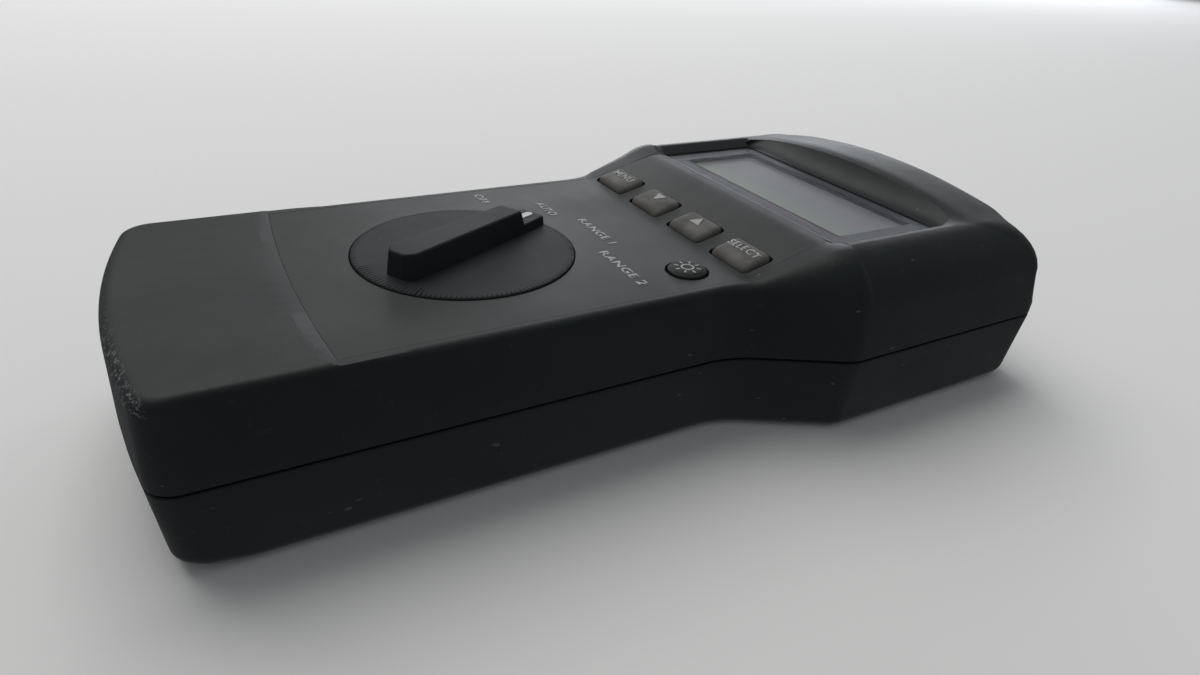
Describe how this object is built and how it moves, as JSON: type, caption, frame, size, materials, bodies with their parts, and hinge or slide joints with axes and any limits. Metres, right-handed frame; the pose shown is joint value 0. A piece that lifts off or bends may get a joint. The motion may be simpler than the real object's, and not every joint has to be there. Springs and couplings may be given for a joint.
{
  "type": "network cable tester",
  "caption": "Hand-held network cable tester: a narrow grip and a wide head with a rotary mode switch, soft keys, a hooded two-line display, a modular jack and a coaxial jack.",
  "frame": {"origin": "centre of the bounding box's underside, on the plane that the tester lies on", "axes": "+X to the user's right, +Y from the butt to the head with the jacks, +Z out of the face"},
  "size_m": [0.0952, 0.203, 0.042],
  "materials": {
    "case_plastic": "dark blue-grey moulded plastic with a fine spark-eroded texture",
    "knob_plastic": "dark grey moulded plastic, a little smoother than the case",
    "face_film": "neutral grey matte printed film",
    "window_lens": "clear hard-coated acrylic",
    "lcd_cell": "grey-green liquid crystal cell",
    "key_rubber": "warm grey silicone rubber",
    "dark_rubber": "black silicone rubber",
    "white_plastic": "white moulded plastic",
    "black_plastic": "black moulded plastic",
    "board_laminate": "green glass-fibre laminate under solder mask",
    "steel": "zinc-plated steel",
    "nickel": "nickel plating",
    "contact_brass": "gilt contact metal",
    "cell_jacket": "blue printed sleeve over a metal can"
  },
  "bodies": {
    "case": {"top_case": "case_plastic", "bottom_case": "case_plastic", "face_overlay": "face_film", "lcd_window": "window_lens", "keypad_mat": "dark_rubber", "lcd_bezel": "steel", "lcd_glass": "lcd_cell", "lcd_light_guide": "white_plastic", "display_board": "board_laminate", "main_board": "board_laminate", "board_header": "black_plastic", "processor_chip": "black_plastic", "memory_chip": "black_plastic", "clock_crystal": "steel", "pulse_transformer": "black_plastic", "filter_capacitor": "cell_jacket", "buzzer": "black_plastic", "rj45_jack": "black_plastic", "rj45_contact_1": "contact_brass", "rj45_contact_2": "contact_brass", "rj45_contact_3": "contact_brass", "rj45_contact_4": "contact_brass", "rj45_contact_5": "contact_brass", "rj45_contact_6": "contact_brass", "rj45_contact_7": "contact_brass", "rj45_contact_8": "contact_brass", "coax_body": "nickel", "coax_nut": "nickel", "coax_insulator": "white_plastic", "coax_pin": "contact_brass", "battery_tray": "black_plastic", "battery_left": "cell_jacket", "battery_right": "cell_jacket", "contact_negative": "nickel", "contact_positive": "nickel", "contact_link": "nickel", "case_screw_1": "steel", "case_screw_2": "steel", "case_screw_3": "steel", "case_screw_4": "steel", "board_screw_1": "steel", "board_screw_2": "steel"},
    "knob": {"rotary_knob": "knob_plastic", "pointer_inlay": "white_plastic", "switch_rotor": "white_plastic", "detent_ball": "steel", "detent_spring": "steel", "wiper_left": "contact_brass", "wiper_right": "contact_brass"},
    "key_menu": {"key_menu": "key_rubber"},
    "key_down": {"key_down": "key_rubber"},
    "key_up": {"key_up": "key_rubber"},
    "key_select": {"key_select": "key_rubber"},
    "key_backlight": {"key_backlight": "dark_rubber"},
    "battery_door": {"battery_door": "case_plastic"}
  },
  "joints": [
    {"name": "switch_turn", "type": "hinge", "parent": "case", "child": "knob", "pos_m": [0, -0.0373, 0.033], "axis": [0, 0, 1], "range_deg": [-66, 33]},
    {"name": "key_menu_press", "type": "slide", "parent": "case", "child": "key_menu", "axis": [0, 0, -1], "range_m": [0, 0.001], "stiffness_N_per_m": 800, "springref_m": -0.0005},
    {"name": "key_down_press", "type": "slide", "parent": "case", "child": "key_down", "axis": [0, 0, -1], "range_m": [0, 0.001], "stiffness_N_per_m": 800, "springref_m": -0.0005},
    {"name": "key_up_press", "type": "slide", "parent": "case", "child": "key_up", "axis": [0, 0, -1], "range_m": [0, 0.001], "stiffness_N_per_m": 800, "springref_m": -0.0005},
    {"name": "key_select_press", "type": "slide", "parent": "case", "child": "key_select", "axis": [0, 0, -1], "range_m": [0, 0.001], "stiffness_N_per_m": 800, "springref_m": -0.0005},
    {"name": "key_backlight_press", "type": "slide", "parent": "case", "child": "key_backlight", "axis": [0, 0, -1], "range_m": [0, 0.0008], "stiffness_N_per_m": 800, "springref_m": -0.0005},
    {"name": "battery_door_lift", "type": "slide", "parent": "case", "child": "battery_door", "axis": [0, 0, -1], "range_m": [0, 0.03]}
  ]
}
